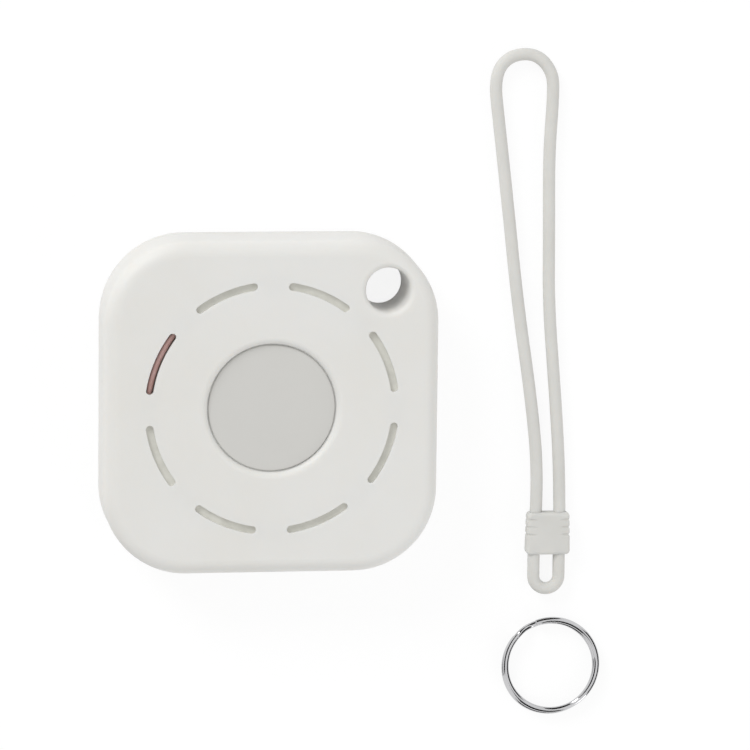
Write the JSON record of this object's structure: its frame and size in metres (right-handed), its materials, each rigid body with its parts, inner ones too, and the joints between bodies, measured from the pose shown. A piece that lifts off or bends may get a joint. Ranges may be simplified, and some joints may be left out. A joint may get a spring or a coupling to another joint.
{
  "type": "bluetooth tracker tag",
  "caption": "Rounded square tracker tag with a round button, arc sound slots and a corner lanyard hole, with its silicone wrist loop and split ring lying beside it.",
  "frame": {"origin": "middle of the tag's flat back face, on the surface that everything lies on", "axes": "+Z out of the tag's front face and button, +Y towards the edge with the lanyard hole, +X towards the side with the lanyard hole, the wrist loop and the split ring"},
  "size_m": [0.0623, 0.0828, 0.0088],
  "materials": {
    "shell": "white injection moulded plastic, satin",
    "sound_mesh": "woven dust mesh, warm grey",
    "button": "light grey plastic, matte",
    "seal": "black rubber",
    "switch_plastic": "black plastic",
    "plunger_plastic": "cream plastic",
    "dome_steel": "spring steel",
    "board": "white solder mask over glass fibre",
    "chip_plastic": "black epoxy package",
    "crystal_can": "steel can",
    "component_ceramic": "ceramic with tinned ends",
    "led": "clear resin over a white carrier",
    "sounder_plastic": "black plastic",
    "sounder_brass": "bare brass sheet",
    "sounder_disc": "silvered piezo ceramic",
    "red_insulation": "red wire insulation",
    "black_insulation": "black wire insulation",
    "solder": "bright solder",
    "cell_steel": "nickel plated steel",
    "gasket": "dark nylon",
    "contact_metal": "plated spring steel",
    "screw_steel": "zinc plated steel",
    "silicone": "light grey silicone, soft matte",
    "ring_steel": "bright nickel plate"
  },
  "bodies": {
    "tag": {"front_shell": "shell", "sound_mesh": "sound_mesh", "rear_shell": "shell", "switch_body": "switch_plastic", "switch_dome": "dome_steel", "main_board": "board", "radio_chip": "chip_plastic", "crystal": "crystal_can", "chip_antenna": "component_ceramic", "passives": "component_ceramic", "status_led": "led", "sounder_ring": "sounder_plastic", "sounder_plate": "sounder_brass", "sounder_ceramic": "sounder_disc", "sounder_lead_red": "red_insulation", "sounder_lead_black": "black_insulation", "solder_joints": "solder", "cell_can": "cell_steel", "cell_gasket": "gasket", "cell_cap": "cell_steel", "contact_negative": "contact_metal", "contact_positive": "contact_metal", "board_screws": "screw_steel"},
    "button": {"button_cap": "button", "switch_plunger": "plunger_plastic"},
    "door": {"battery_door": "shell", "door_seal": "seal"},
    "wrist_loop": {"strap_cord": "silicone", "strap_collar": "silicone", "strap_eye": "silicone"},
    "key_ring": {"split_ring": "ring_steel"}
  },
  "joints": [
    {"name": "button_press", "type": "slide", "parent": "tag", "child": "button", "axis": [0, 0, -1], "range_m": [0, 0.0003], "stiffness_N_per_m": 4000, "deforming": ["switch_dome"]},
    {"name": "door_turn", "type": "hinge", "parent": "tag", "child": "door", "pos_m": [0, 0, 0.00015], "axis": [0, 0, -1], "range_deg": [0, 40]},
    {"name": "wrist_loop_lift", "type": "slide", "parent": "tag", "child": "wrist_loop", "axis": [0, 0, 1], "range_m": [0, 0.1]},
    {"name": "key_ring_lift", "type": "slide", "parent": "tag", "child": "key_ring", "axis": [0, 0, 1], "range_m": [0, 0.1]}
  ]
}
